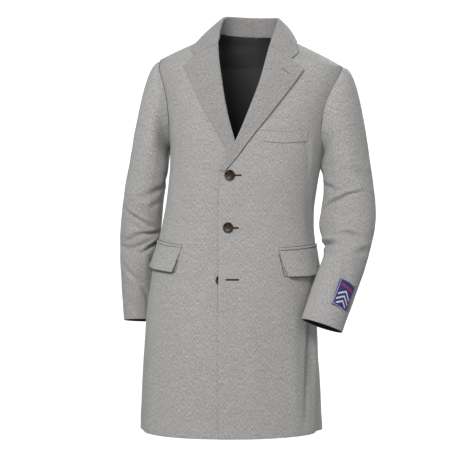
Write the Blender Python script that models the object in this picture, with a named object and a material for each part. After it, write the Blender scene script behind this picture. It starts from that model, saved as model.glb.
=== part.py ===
"""Single-breasted chesterfield coat in worn, hollow form. Metres, +Z up, front at -Y, wearer's left at +X.

The origin lies at the base of the neck, midway between the shoulder seams, where the wearer's shoulders carry it.
Each piece is a wall: a grid of points on the body, sleeve or collar form, and the same points moved in by the cloth.
"""

import bisect
import math
from collections import namedtuple

import bmesh
import bpy
from mathutils import Matrix, Vector
from mathutils.bvhtree import BVHTree

# Driving sizes
CLOTH = 0.0026  # wool with its backing
LAYER = 0.0026  # a lapel, flap or welt, which is two thicknesses of thinner cloth
GAP = 0.0004  # between a piece and what it lies on
SEAM = 0.00016  # half the space between two sewn edges
BUTTON_SEAT = 0.0003  # between a button and the cloth that carries it
HEM_Z = -0.925
HEM_DIP = 0.006
NECK_Z = 0.0
SHOULDER_Z = -0.069
ARMPIT_Z = -0.272
BREAK_Z = -0.332
FRONT_OVERLAP = 0.024  # from the centre line to the front edge
SQUARENESS = 0.045  # how far a body section is squarer than an ellipse
SIDE_SEAM = math.radians(97)
SIDE_RADIUS = 0.18
BACK_RADIUS = 0.15
VENT_TOP_Z = -0.52
VENT_WIDTH = 0.042
VENT_FADE = (math.radians(17), math.radians(34))  # round the back, where the under side of the vent comes level
SHOULDER_ROWS = (SHOULDER_Z, -0.052, -0.034, -0.017, -0.006, NECK_Z)

# The body form: one row for each level section, from the collar's fold down
Section = namedtuple("Section", "z mid_x side_y half_width front_y back_y turn tilt")
BODY = [
    Section(0.045, 0.000, 0.003, 0.064, -0.053, 0.063, 5.0, 0.055),
    Section(0.000, 0.000, 0.004, 0.077, -0.058, 0.069, 5.0, 0.055),
    Section(-0.014, 0.000, 0.005, 0.103, -0.066, 0.081, 5.0, 0.055),
    Section(-0.032, 0.000, 0.007, 0.143, -0.077, 0.094, 5.0, 0.055),
    Section(-0.052, 0.000, 0.009, 0.186, -0.088, 0.104, 4.8, 0.055),
    Section(-0.069, 0.000, 0.010, 0.218, -0.097, 0.111, 4.5, 0.055),
    Section(-0.085, 0.000, 0.010, 0.221, -0.104, 0.115, 4.3, 0.054),
    Section(-0.110, 0.000, 0.010, 0.216, -0.113, 0.120, 4.2, 0.053),
    Section(-0.160, -0.003, 0.008, 0.200, -0.125, 0.127, 4.0, 0.050),
    Section(-0.220, -0.006, 0.006, 0.187, -0.135, 0.128, 4.3, 0.046),
    Section(-0.272, -0.008, 0.005, 0.181, -0.139, 0.123, 5.0, 0.043),
    Section(-0.335, -0.015, 0.002, 0.176, -0.139, 0.111, 6.5, 0.040),
    Section(-0.420, -0.025, -0.003, 0.174, -0.133, 0.096, 4.5, 0.037),
    Section(-0.500, -0.032, 0.000, 0.187, -0.137, 0.112, 0.5, 0.030),
    Section(-0.600, -0.039, 0.004, 0.198, -0.145, 0.137, -2.8, 0.020),
    Section(-0.720, -0.046, 0.004, 0.203, -0.153, 0.149, -5.2, 0.010),
    Section(-0.925, -0.047, 0.002, 0.213, -0.163, 0.162, -6.2, 0.000),
    Section(-1.000, -0.047, 0.002, 0.215, -0.166, 0.166, -6.2, 0.000),
]

# Flutes of the skirt: the angle round the body, where each starts, and how far out it goes at the hem
Flute = namedtuple("Flute", "angle half_angle top_z depth")
FLUTES = [
    Flute(56, 10, -0.64, 0.004),
    Flute(70, 8, -0.60, -0.011),
    Flute(83, 11, -0.60, 0.008),
    Flute(-74, 14, -0.60, -0.006),
    Flute(128, 18, -0.55, -0.010),
    Flute(154, 15, -0.58, 0.005),
    Flute(-132, 18, -0.55, -0.009),
    Flute(-108, 14, -0.60, 0.006),
]

# The lapel's fold and outer edge, as distances from the centre line at each height
Edge = namedtuple("Edge", "z x")
ROLL_LINE = [
    Edge(0.030, 0.0700),
    Edge(0.000, 0.0680),
    Edge(-0.028, 0.0655),
    Edge(-0.060, 0.0605),
    Edge(-0.090, 0.0550),
    Edge(-0.128, 0.0465),
    Edge(-0.160, 0.0380),
    Edge(-0.197, 0.0270),
    Edge(-0.230, 0.0155),
    Edge(-0.260, 0.0035),
    Edge(-0.294, -0.0090),
    Edge(BREAK_Z, -0.0215),
    Edge(-0.350, -0.0260),
]
LAPEL_EDGE = [
    Edge(-0.020, 0.1780),
    Edge(-0.089, 0.1370),
    Edge(-0.123, 0.1175),
    Edge(-0.158, 0.0960),
    Edge(-0.203, 0.0680),
    Edge(-0.235, 0.0460),
    Edge(-0.268, 0.0250),
    Edge(-0.310, 0.0010),
    Edge(BREAK_Z, -0.0150),
    Edge(-0.350, -0.0210),
]
GORGE_Z = -0.040  # where the lapel's top edge starts at the roll line
NOTCH_Z = -0.066
NOTCH_SHARE = 4 / 7  # of the way across the lapel
LAPEL_POINT_Z = -0.089
COLLAR_POINT = (0.1255, -0.0500)

# Buttons, and the room the lowest one needs under the open front edge
BUTTON_RADIUS = 0.0122
BUTTON_DEPTH = 0.0042
FASTENED_Z = (-0.337, -0.455)
LOOSE_BUTTON = (-0.0195, -0.573)
CUFF_BUTTON_RADIUS = 0.0078
CUFF_BUTTON_DEPTH = 0.0034
CUFF_BUTTON_SHARES = (0.925, 0.879, 0.833)  # down the sleeve
CUFF_BUTTON_TURN = math.radians(14)  # from the back seam

# How far the right front lies in under the left one, and where that fades out
UNDER_FRONT = CLOTH + GAP + 0.0004
UNDER_ROLL = 0.0066
UNDER_BUTTON = BUTTON_DEPTH + 2 * GAP
OVERLAP_FADE = (0.026, 0.085)  # from the centre line
ROLL_FADE = (-0.420, -0.335)
RISE_FADE = (-0.256, -0.196)
BUTTON_FADE_UP = (0.036, 0.090)
BUTTON_FADE_ACROSS = (0.030, 0.080)

# Pockets
POCKET_X = 0.112
POCKET_FRONT_Z = -0.504
POCKET_SIDE_Z = -0.492
POCKET_LENGTH = 0.155
FLAP_DROP = 0.055
JET_HEIGHT = 0.0060
WELT_X = (0.061, 0.154)
WELT_Z = -0.257
WELT_HEIGHT = 0.025
WELT_RISE = 0.005
WELT_SAG = 0.005

# The sleeves: a row for each ring below the armpit. The tip is how far, in degrees, the ring's front is raised
Ring = namedtuple("Ring", "x y z across deep tip")
LEFT_ARM = [
    Ring(0.2270, 0.008, -0.312, 0.0565, 0.0660, 0),
    Ring(0.2320, 0.010, -0.378, 0.0610, 0.0620, 3),
    Ring(0.2310, 0.006, -0.428, 0.0645, 0.0600, 8),
    Ring(0.2300, -0.006, -0.478, 0.0590, 0.0580, 14),
    Ring(0.2245, -0.028, -0.528, 0.0510, 0.0555, 18),
    Ring(0.2085, -0.058, -0.577, 0.0505, 0.0530, 20),
    Ring(0.1920, -0.091, -0.625, 0.0505, 0.0500, 17),
    Ring(0.1760, -0.124, -0.676, 0.0490, 0.0475, 12),
]
RIGHT_ARM = [
    Ring(-0.2430, 0.012, -0.312, 0.0475, 0.0700, 0),
    Ring(-0.2560, 0.020, -0.378, 0.0480, 0.0670, 1),
    Ring(-0.2630, 0.030, -0.428, 0.0490, 0.0645, 2),
    Ring(-0.2700, 0.042, -0.478, 0.0490, 0.0615, 4),
    Ring(-0.2735, 0.053, -0.528, 0.0470, 0.0580, 5),
    Ring(-0.2750, 0.061, -0.577, 0.0445, 0.0550, 6),
    Ring(-0.2760, 0.069, -0.625, 0.0420, 0.0525, 7),
    Ring(-0.2755, 0.075, -0.679, 0.0400, 0.0505, 7),
]
SLEEVE_SEAMS = (math.radians(-120), math.radians(120))  # the back and the front seam, from the outside of the arm
SLEEVE_SEAM_RADIUS = 0.036
CAP_ROWS = 9
CAP_HANDLE = 0.034
TUBE_SHARES = (0, 0.08, 0.15, 0.21, 0.265, 0.32, 0.375, 0.43, 0.485, 0.54, 0.60, 0.67, 0.75, 0.83, 0.92, 1)

# The broadest creases of each sleeve, on its own surface: round the arm, and down from the armpit
Crease = namedtuple("Crease", "around down length width slope depth")
LEFT_CREASES = [
    Crease(90, 0.082, 0.110, 0.036, 28, -0.0065),
    Crease(92, 0.175, 0.095, 0.034, -4, -0.0065),
    Crease(-75, 0.130, 0.090, 0.045, 10, 0.0040),
]
RIGHT_CREASES = [
    Crease(88, 0.125, 0.085, 0.034, 29, -0.0055),
    Crease(94, 0.192, 0.100, 0.034, -13, -0.0060),
    Crease(-75, 0.150, 0.090, 0.045, -8, 0.0040),
]

# The collar from the gorge round to the centre back. Its fold is given as a point of the section's own frame,
# its seam and its edge as places on the body form
Station = namedtuple("Station", "z seam_angle seam_z fold_x fold_y fold_z roll edge_angle edge_z")
COLLAR = [
    Station(0.00, 22.9, -0.0400, 0.0630, -0.0790, -0.0400, 150, 46.5, -0.0395),
    Station(0.15, 35.2, -0.0180, 0.0664, -0.0535, -0.0150, 152, 46.5, -0.0395),
    Station(0.31, 60.0, -0.0008, 0.0684, -0.0262, 0.0085, 154, 54.5, -0.0290),
    Station(0.45, 78.0, 0.0000, 0.0683, -0.0047, 0.0262, 156, 75.0, -0.0185),
    Station(0.60, 104.0, 0.0000, 0.0640, 0.0210, 0.0390, 160, 104.0, -0.0165),
    Station(0.79, 142.0, 0.0000, 0.0410, 0.0520, 0.0425, 162, 141.0, -0.0175),
    Station(1.00, 180.0, 0.0000, 0.0000, 0.0640, 0.0430, 162, 180.0, -0.0175),
]
COLLAR_ROLL_SHARE = 0.14  # of the half collar, over which it leaves the lapel's roll
COLLAR_GORGE_SHARE = 0.22  # over which its fall leaves the gorge
COLLAR_FLAT_SHARE = 0.34  # over which its fall lies flat
COLLAR_SEAM_INSET = 0.0026  # inside the roll line, which fades out round the shoulder
COLLAR_INSET_SHARES = (0.31, 0.45)
COLLAR_FOLD_RADIUS = 0.0042
COLLAR_CLOTH = 0.0022
COLLAR_BELLY = 0.005

# The tacked label above the left cuff
LABEL_WIDTH = 0.044
LABEL_LENGTH = 0.062
LABEL_UP = 0.046  # from the cuff to its lower edge
LABEL_AROUND = math.radians(52)
LABEL_RADIUS = 0.0495  # of the sleeve there
LABEL_THICKNESS = 0.0012

WOOL = ("wool", (0.42, 0.41, 0.40), 0.92, 0.0)
HORN = ("horn", (0.055, 0.030, 0.018), 0.32, 0.0)
WOVEN_LABEL = ("label", (0.020, 0.020, 0.130), 0.70, 0.0)


class Curve:
    """A smooth curve through one column of a table, against its z, with no overshoot between rows."""

    def __init__(self, table, column):
        rows = sorted(table, key=lambda row: row.z)
        self.at = [row.z for row in rows]
        self.values = [getattr(row, column) for row in rows]
        steps = [
            (b - a) / (d - c) for a, b, c, d in zip(self.values, self.values[1:], self.at, self.at[1:])
        ]
        inner = [0.0 if a * b <= 0 else 2 * a * b / (a + b) for a, b in zip(steps, steps[1:])]
        self.slopes = [steps[0], *inner, steps[-1]]

    def __call__(self, z):
        z = min(max(z, self.at[0]), self.at[-1])
        i = min(bisect.bisect_right(self.at, z) - 1, len(self.at) - 2)
        span = self.at[i + 1] - self.at[i]
        s = (z - self.at[i]) / span
        return (
            self.values[i] * (1 + 2 * s) * (1 - s) ** 2
            + self.slopes[i] * span * s * (1 - s) ** 2
            + self.values[i + 1] * s * s * (3 - 2 * s)
            - self.slopes[i + 1] * span * s * s * (1 - s)
        )


def curves(table):
    """Every column of a table but its z, as curves by name."""
    return {name: Curve(table, name) for name in table[0]._fields if name != "z"}


BODY_CURVES = curves(BODY)
ROLL_X = Curve(ROLL_LINE, "x")
LAPEL_X = Curve(LAPEL_EDGE, "x")
COLLAR_CURVES = curves(COLLAR)


def ease(x, start, end):
    """0 before start, 1 after end, and a soft step between."""
    s = min(max((x - start) / (end - start), 0.0), 1.0)
    return s * s * (3 - 2 * s)


def mixed(a, b, share):
    return a + (b - a) * share


def flute_height(angle, z):
    """How far the skirt's flutes move a point of the body out."""
    total = 0.0
    for flute in FLUTES:
        away = (math.degrees(angle) - flute.angle + 180) % 360 - 180
        if abs(away) < flute.half_angle:
            across = math.cos(math.pi / 2 * away / flute.half_angle) ** 2
            total += flute.depth * across * ease(-z, -flute.top_z, -HEM_Z)
    return total


def placed(x, y, z, row):
    """A point given in a section's own frame, with the section's turn, tilt and shift."""
    turned = Matrix.Rotation(math.radians(-row["turn"]), 3, "Z") @ Vector((x, y, 0))
    return Vector((row["mid_x"] + turned.x, turned.y, z - row["tilt"] * turned.x))


def body(angle, z):
    """A point of the body form. The angle runs from the centre front towards the wearer's left."""
    row = {name: curve(z) for name, curve in BODY_CURVES.items()}
    reach = (row["front_y"] if math.cos(angle) > 0 else row["back_y"]) - row["side_y"]
    squarer = 1 + SQUARENESS * math.sin(2 * angle) ** 2
    out = flute_height(angle, z)
    x = row["half_width"] * math.sin(angle) * squarer + out * math.sin(angle)
    y = row["side_y"] + reach * abs(math.cos(angle)) * squarer - out * math.cos(angle)
    dip = HEM_DIP * math.cos(angle) * max(z / HEM_Z, 0) ** 3
    return placed(x, y, z, row) - Vector((0, 0, dip))


def body_x(angle, z):
    """The distance from the centre line, in the section's own frame."""
    return BODY_CURVES["half_width"](z) * math.sin(angle) * (1 + SQUARENESS * math.sin(2 * angle) ** 2)


def angle_at(x, z):
    """The angle at which the front of the body lies x from the centre line."""
    low, high = -math.pi / 2, math.pi / 2
    for _ in range(30):
        middle = (low + high) / 2
        if body_x(middle, z) < x:
            low = middle
        else:
            high = middle
    return (low + high) / 2


def angle_after(start, z, length, side=1):
    """The angle reached after a length of cloth round the body from a start angle."""
    step = math.radians(1) * side
    angle, gone = start, 0.0
    while gone < length:
        gone += (body(angle + step, z) - body(angle, z)).length
        angle += step
    return angle


def lifted(surface, a, b, lift):
    """The point of a surface at (a, b), moved out along its normal."""
    small = 0.0015
    across = surface(a + small, b) - surface(a - small, b)
    up = surface(a, b + small) - surface(a, b - small)
    return surface(a, b) + across.cross(up).normalized() * lift


def material(finish):
    name, colour, roughness, metallic = finish
    found = bpy.data.materials.get(name)
    if found:
        return found
    made = bpy.data.materials.new(name)
    made.use_nodes = True
    shader = made.node_tree.nodes["Principled BSDF"]
    shader.inputs["Base Color"].default_value = (*colour, 1)
    shader.inputs["Roughness"].default_value = roughness
    shader.inputs["Metallic"].default_value = metallic
    made.diffuse_color = (*colour, 1)
    return made


def finished(name, bm, finish, crease_angle=50):
    """Makes a bmesh an object with smooth shading."""
    bmesh.ops.recalc_face_normals(bm, faces=bm.faces)
    if bm.calc_volume(signed=True) < 0:
        bmesh.ops.reverse_faces(bm, faces=bm.faces)
    mesh = bpy.data.meshes.new(name)
    bm.to_mesh(mesh)
    bm.free()
    mesh.shade_smooth()
    mesh.set_sharp_from_angle(angle=math.radians(crease_angle))
    mesh.materials.append(material(finish))
    made = bpy.data.objects.new(name, mesh)
    bpy.context.scene.collection.objects.link(made)
    return made


def wall(name, columns, rows, place, thickness=CLOTH, keep=None, finish=WOOL):
    """A closed wall on a grid. place(u, v, depth) gives a point at shares u and v, depth metres in from the outside."""
    bm = bmesh.new()
    bmesh.ops.create_grid(bm, x_segments=columns, y_segments=rows, size=0.5)
    if keep:
        left_out = []
        for face in bm.faces:
            middle = face.calc_center_median()
            column = int((middle.x + 0.5) * columns)
            row = int((middle.y + 0.5) * rows)
            if not keep(column, row):
                left_out.append(face)
        bmesh.ops.delete(bm, geom=left_out, context="FACES")
    grown = bmesh.ops.extrude_face_region(bm, geom=bm.faces[:], use_keep_orig=True)
    inside = {item for item in grown["geom"] if isinstance(item, bmesh.types.BMVert)}
    for vert in bm.verts:
        u, v = vert.co.x + 0.5, vert.co.y + 0.5
        vert.co = place(u, v, thickness if vert in inside else 0.0)
    return finished(name, bm, finish)


def clear_scene():
    for old in list(bpy.data.objects):
        bpy.data.objects.remove(old)


# Armholes


def armhole(w, side):
    """The armhole's seam as (angle, height) on the body. w runs from the shoulder point round the front."""
    high = (1 + math.cos(w)) / 2
    z = mixed(ARMPIT_Z, SHOULDER_Z, high)
    front, back = math.radians(28), math.radians(31)
    reach = front if math.sin(w) > 0 else back
    angle = mixed(SIDE_SEAM, math.radians(90), high) - reach * math.sin(w)
    return side * angle, z


def armhole_turn(z):
    """The armhole's own parameter where it crosses a height."""
    share = min(max((z - ARMPIT_Z) / (SHOULDER_Z - ARMPIT_Z), 0.0), 1.0)
    return math.acos(2 * share - 1)


# Fronts


def body_heights(below):
    """Row heights shared by fronts and backs: even below the armpit, then on the armhole, then up the shoulder."""
    heights = [mixed(HEM_Z, ARMPIT_Z, k / below) for k in range(below)]
    for k in range(CAP_ROWS):
        heights.append(armhole(math.pi * (1 - k / CAP_ROWS), 1)[1])
    return [*heights, *SHOULDER_ROWS]


def at_share(values, share):
    """The value at a share of the way along an evenly numbered list."""
    at = share * (len(values) - 1)
    i = min(int(at), len(values) - 2)
    return mixed(values[i], values[i + 1], at - i)


def outer_angle(z, front=True):
    """Where a front, or a back, ends at the side: the side seam, the armhole, or the shoulder seam."""
    if z <= ARMPIT_Z:
        return SIDE_SEAM
    if z >= SHOULDER_Z:
        return math.radians(90)
    w = armhole_turn(z)
    return armhole(w if front else -w, 1)[0]


def opening_angle(z):
    """Where a front ends at the middle: its straight edge, then the lapel's roll line."""
    x = -FRONT_OVERLAP if z <= BREAK_Z else ROLL_X(z)
    return angle_at(x, z)


def under_layer(angle, z):
    """How far the right front lies under the left one, where they overlap."""
    x = body_x(angle, z)
    near = 1 - ease(abs(x), *OVERLAP_FADE)
    layers = UNDER_FRONT + UNDER_ROLL * ease(z, *ROLL_FADE)
    button = UNDER_BUTTON * (1 - ease(abs(z - LOOSE_BUTTON[1]), *BUTTON_FADE_UP))
    button *= 1 - ease(abs(x - LOOSE_BUTTON[0]), *BUTTON_FADE_ACROSS)
    return layers * near * (1 - ease(z, *RISE_FADE)) + button


def front(side):
    """One front. The left one, side 1, lies over the right one."""
    heights = body_heights(14)

    def place(u, v, depth):
        z = at_share(heights, v)
        start, end = opening_angle(z), outer_angle(z)
        angle = mixed(start, end - SEAM / SIDE_RADIUS, u)
        rim = SEAM * ease(z, SHOULDER_Z - 0.001, SHOULDER_Z)
        lift = 0.0 if side > 0 else -under_layer(-angle, z)
        return lifted(body, side * angle, z - rim, lift - depth)

    return wall(f"front_{'left' if side > 0 else 'right'}", 12, len(heights) - 1, place)


def vent_layer(angle_from_back, z):
    """How far the right back lies under the left one at the vent."""
    near = 1 - ease(angle_from_back, *VENT_FADE)
    return UNDER_FRONT * near * (1 - ease(z, VENT_TOP_Z + 0.004, VENT_TOP_Z + 0.050))


def back(side):
    """One back. The left one carries the vent's overlap."""
    heights = body_heights(14)
    overlap_columns = 2 if side > 0 else 0
    columns = 9 + overlap_columns

    def place(u, v, depth):
        z = at_share(heights, v)
        start, middle = outer_angle(z, front=False) + SEAM / SIDE_RADIUS, math.pi - SEAM / BACK_RADIUS
        column = u * columns - (columns - overlap_columns)
        if column > 1e-6:
            angle = middle + VENT_WIDTH / BACK_RADIUS * column / overlap_columns
        else:
            angle = mixed(start, middle, u * columns / (columns - overlap_columns))
        rim = SEAM * ease(z, SHOULDER_Z - 0.001, SHOULDER_Z)
        lift = 0.0 if side > 0 else -vent_layer(math.pi - angle, z)
        return lifted(body, side * angle, z - rim, lift - depth)

    def keep(column, row):
        return column < columns - overlap_columns or heights[row + 1] <= VENT_TOP_Z

    return wall(f"back_{'left' if side > 0 else 'right'}", columns, len(heights) - 1, place, keep=keep)


# Lapels

ROLL_PROFILE = [(-0.0042, -0.0024), (-0.0054, 0.0008), (-0.0043, 0.0043), (0.0004, 0.0066)]
LAPEL_COLUMNS = 7
FULL_LAPEL = 0.045  # a lapel narrower than this rolls less
LAPEL_PUFF = 0.0036


def lapel_top(s):
    """The height of the lapel's top edge: the gorge from the roll line to the notch, then down to its point."""
    if s < NOTCH_SHARE:
        return mixed(GORGE_Z, NOTCH_Z, s / NOTCH_SHARE)
    return mixed(NOTCH_Z, LAPEL_POINT_Z, (s - NOTCH_SHARE) / (1 - NOTCH_SHARE))


def lapel_point(s, z):
    """A point of the turned-back lapel, as its distance across and its lift. s runs from the roll to the edge."""
    inner, outer = ROLL_X(z), LAPEL_X(z)
    size = min(1.0, (outer - inner) / FULL_LAPEL)
    x = mixed(inner + ROLL_PROFILE[-1][0] * size, outer, s)
    puff = LAPEL_PUFF * size * math.sin(math.pi * min(1.0, 0.42 + 0.58 * s)) * (1 - s) ** 0.5
    return x, LAYER + GAP + puff


def over_front(side, z, angle):
    """How far the front that a lapel lies on is pushed in."""
    return 0.0 if side > 0 else -under_layer(-angle, z)


def lapel(side):
    """A lapel: the facing turned back over the front at the roll line, out to its edge, up to the gorge and notch."""
    columns = len(ROLL_PROFILE) + LAPEL_COLUMNS - 1

    def place(u, v, depth):
        column = round(u * columns)
        s = max(column - len(ROLL_PROFILE) + 1, 0) / LAPEL_COLUMNS
        z = mixed(BREAK_Z + 0.004, lapel_top(s) - GAP, v)
        if column >= len(ROLL_PROFILE) - 1:
            x, lift = lapel_point(s, z)
            inward = Vector((0, -1))
        else:
            size = min(1.0, (LAPEL_X(z) - ROLL_X(z)) / FULL_LAPEL)
            x, lift = (value * size for value in ROLL_PROFILE[column])
            x += ROLL_X(z)
            lift += (LAYER + GAP) * (1 - size)
            turn = math.pi / 2 * (column / (len(ROLL_PROFILE) - 1) - 0.12)
            inward = Vector((math.cos(turn), -math.sin(turn)))
        angle = angle_at(x + inward.x * depth, z)
        return lifted(body, side * angle, z, over_front(side, z, angle) + lift + inward.y * depth)

    return wall(f"lapel_{'left' if side > 0 else 'right'}", columns, 12, place, thickness=LAYER - 0.0002)


# Collar


def fold_point(along, side):
    """A point of the line round which the collar folds. along runs from the gorge to the centre back."""
    x, y, z = (COLLAR_CURVES[name](along) for name in ("fold_x", "fold_y", "fold_z"))
    return placed(side * x, y, z, {name: curve(z) for name, curve in BODY_CURVES.items()})


def gorge_points(side, edge, count):
    """Points along the collar's end: beside the lapel's top edge as far as the notch, then out to the collar's point."""
    notch = LAPEL_COLUMNS * NOTCH_SHARE
    points = []
    for k in range(1, count + 1):
        if k <= notch:
            z = lapel_top(k / LAPEL_COLUMNS) + 2 * GAP
            x, lift = lapel_point(k / LAPEL_COLUMNS, z)
            points.append(lifted(body, side * angle_at(x, z), z, lift))
        else:
            points.append(points[-1].lerp(edge, 1 / (count + 1 - k)))
    return points


def collar_section(along, side, stand_rows, fold_rows, fall_rows):
    """The points of one section of the collar, from the neck seam over the fold to the edge of the fall."""
    at = {name: curve(along) for name, curve in COLLAR_CURVES.items()}
    lap = LAYER + 4 * GAP
    flat = 1 - ease(along, 0.0, COLLAR_FLAT_SHARE)
    at["seam_z"] += 3 * GAP * flat
    seam_angle = math.radians(at["seam_angle"])
    if along < COLLAR_INSET_SHARES[1]:
        inset = COLLAR_SEAM_INSET * (1 - ease(along, *COLLAR_INSET_SHARES))
        seam_angle = angle_at(body_x(seam_angle, at["seam_z"]) - inset, at["seam_z"])
    seam_angle *= side
    seam = lifted(body, seam_angle, at["seam_z"], -0.0004 - 0.0020 * flat) + Vector((0, 0, 3.5 * GAP * (1 - flat)))
    fold = fold_point(along, side) + Vector((0, 0, 3 * GAP * flat))
    edge = lifted(body, side * math.radians(at["edge_angle"]), at["edge_z"], lap)
    first = COLLAR[1]
    if along < first.z:
        point = lifted(body, side * angle_at(*COLLAR_POINT), COLLAR_POINT[1], lap)
        next_edge = lifted(body, side * math.radians(first.edge_angle), first.edge_z, lap)
        edge = point.lerp(next_edge, along / first.z)
    onward = (fold_point(min(along + 0.01, 1), side) - fold_point(max(along - 0.01, 0), side)).normalized()
    normal = lifted(body, seam_angle, at["fold_z"], 0.01) - body(seam_angle, at["fold_z"])
    out = (normal - onward * normal.dot(onward)).normalized()
    up = out.cross(onward).normalized() * side
    start = fold - out * COLLAR_FOLD_RADIUS
    points = [seam.lerp(start, k / stand_rows) for k in range(stand_rows)]
    for k in range(fold_rows + 1):
        turn = math.radians(at["roll"]) * k / fold_rows
        points.append(fold + (up * math.sin(turn) - out * math.cos(turn)) * COLLAR_FOLD_RADIUS)
    leave = 1 - ease(along, 0.0, COLLAR_ROLL_SHARE)
    for k, point in enumerate(points):
        share = (len(ROLL_PROFILE) - 1) * k / (len(points) - 1)
        i = min(int(share), len(ROLL_PROFILE) - 2)
        x, lift = (mixed(a, b, share - i) for a, b in zip(ROLL_PROFILE[i], ROLL_PROFILE[i + 1]))
        angle = side * angle_at(ROLL_X(at["seam_z"]) + x, at["seam_z"])
        points[k] = point.lerp(lifted(body, angle, at["seam_z"], lift), leave)
    last = points[-1]
    gorge = gorge_points(side, edge, fall_rows)
    for k in range(1, fall_rows + 1):
        s = k / fall_rows
        straight = last.lerp(edge, s) + out * COLLAR_BELLY * math.sin(math.pi * s) * (1 - flat)
        points.append(straight.lerp(gorge[k - 1], 1 - ease(along, 0.0, COLLAR_GORGE_SHARE)))
    return points


def collar():
    """The collar: up the stand from the neck seam, over the fold, and down the fall to its edge and points."""
    around, layout = 28, (2, 4, 6)

    def section(u):
        return collar_section(1 - abs(2 * u - 1), 1 if u <= 0.5 else -1, *layout)

    def place(u, v, depth):
        points = section(u)
        i = round(v * (len(points) - 1))
        if depth == 0.0:
            return points[i]
        before, after = section(max(u - 0.006, 0)), section(min(u + 0.006, 1))
        along = (after[i] - before[i]).normalized()
        down = (points[min(i + 1, len(points) - 1)] - points[max(i - 1, 0)]).normalized()
        return points[i] - down.cross(along).normalized() * depth

    return wall("collar", around, sum(layout), place, thickness=COLLAR_CLOTH)


# Sleeves


def curve_value(points, share):
    """A point on a Catmull-Rom curve through evenly numbered points or numbers."""
    at = min(max(share, 0.0), 1.0) * (len(points) - 1)
    i = min(int(at), len(points) - 2)
    s = at - i
    a, b = points[max(i - 1, 0)], points[i]
    c, d = points[i + 1], points[min(i + 2, len(points) - 1)]
    return 0.5 * (2 * b + (c - a) * s + (2 * a - 5 * b + 4 * c - d) * s**2 + (3 * b - a - 3 * c + d) * s**3)


def sleeve_length(arm):
    centres = [Vector(row[:3]) for row in arm]
    return sum((b - a).length for a, b in zip(centres, centres[1:]))


def sleeve_surface(arm, creases, side):
    """The sleeve's outside as a function of the angle round it, w, and a share down it, which is below 0 on the cap."""
    centres = [Vector(row[:3]) for row in arm]
    across = [row.across for row in arm]
    deep = [row.deep for row in arm]
    tips = [row.tip for row in arm]
    length = sleeve_length(arm)
    radius = sum(across + deep) / (2 * len(arm))

    def tube(w, share):
        centre = curve_value(centres, share)
        low, high = max(share - 0.02, 0), min(share + 0.02, 1)
        direction = (curve_value(centres, high) - curve_value(centres, low)).normalized()
        flat = Vector((direction.x, 0, direction.z)).normalized()
        out = Vector((side, 0, 0))
        out = (out - flat * out.dot(flat)).normalized()
        tip = math.radians(curve_value(tips, share))
        ahead = Vector((0, -math.cos(tip), math.sin(tip)))
        point = centre + out * curve_value(across, share) * math.cos(w)
        point += ahead * curve_value(deep, share) * math.sin(w)
        bulge = 0.0
        for crease in creases:
            off_w = ((w - math.radians(crease.around) + math.pi) % (2 * math.pi) - math.pi) * radius
            off_s = share * length - crease.down
            slope = math.radians(crease.slope)
            along = off_w * math.cos(slope) + off_s * math.sin(slope)
            beside = -off_w * math.sin(slope) + off_s * math.cos(slope)
            bulge += crease.depth * math.exp(-((2 * along / crease.length) ** 2) - (2 * beside / crease.width) ** 2)
        return point + (point - centre).normalized() * bulge

    def cap(w, share):
        """Between the armhole at -1 and the first ring at 0."""
        angle, z = armhole(w, side)
        start = body(angle, z)
        next_angle, next_z = armhole(w + 0.01, side)
        seam = (body(next_angle, next_z) - start).normalized()
        normal = (lifted(body, angle, z, 0.01) - start).normalized()
        into = seam.cross(normal).normalized() * side
        sideways = Vector((side, 0, 0))
        under = ease(-math.cos(w), -0.1, 0.8)
        over = ease(math.cos(w), 0.1, 0.95)
        leave = (into * (0.55 - 0.55 * under) + sideways * 0.6 + normal * (0.2 + 0.8 * under)).normalized()
        top = (sideways * 0.95 + into * 0.25 + normal * 0.15).normalized()
        leave = leave.lerp(top, over).normalized()
        start = start + leave * (2.5 * GAP) + normal * (GAP * under)
        end = tube(w, 0.0)
        down = (tube(w, 0.03) - end).normalized()
        span = (end - start).length
        first = start + leave * min(CAP_HANDLE, 0.4 * span)
        second = end - down * min(0.45 * span, 0.10)
        s = share + 1
        return (
            start * (1 - s) ** 3
            + first * 3 * s * (1 - s) ** 2
            + second * 3 * s * s * (1 - s)
            + end * s**3
        )

    def surface(w, share):
        return cap(w, share) if share < 0 else tube(w, share)

    return surface


def sleeve(side, part):
    """The top or the under sleeve of one arm, from the armhole to the cuff."""
    arm, creases = (LEFT_ARM, LEFT_CREASES) if side > 0 else (RIGHT_ARM, RIGHT_CREASES)
    surface = sleeve_surface(arm, creases, side)
    back_seam, front_seam = SLEEVE_SEAMS
    half_gap = SEAM / SLEEVE_SEAM_RADIUS
    if part == "top":
        start, end, columns = back_seam + half_gap, front_seam - half_gap, 12
    else:
        start, end, columns = front_seam + half_gap, back_seam + 2 * math.pi - half_gap, 6
    shares = [-1, -0.92, -0.78, -0.6, -0.4, -0.2, *TUBE_SHARES]

    def place(u, v, depth):
        w, share = mixed(start, end, u), shares[round(v * (len(shares) - 1))]
        small_w, small_s = 0.02, 0.01
        low, high = max(share - small_s, -1), min(share + small_s, 1)
        around = surface(w + small_w, share) - surface(w - small_w, share)
        down = surface(w, high) - surface(w, low)
        normal = around.cross(down).normalized() * side
        return surface(w, share) - normal * depth

    name = f"{part}_sleeve_{'left' if side > 0 else 'right'}"
    return wall(name, columns, len(shares) - 1, place)


# Pockets


def pocket_line(u, side):
    """The pocket's mouth as (angle, height), from its front end to its side end."""
    start = angle_at(POCKET_X, POCKET_FRONT_Z)
    end = angle_after(start, POCKET_FRONT_Z, POCKET_LENGTH)
    return side * mixed(start, end, u), mixed(POCKET_FRONT_Z, POCKET_SIDE_Z, u)


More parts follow.
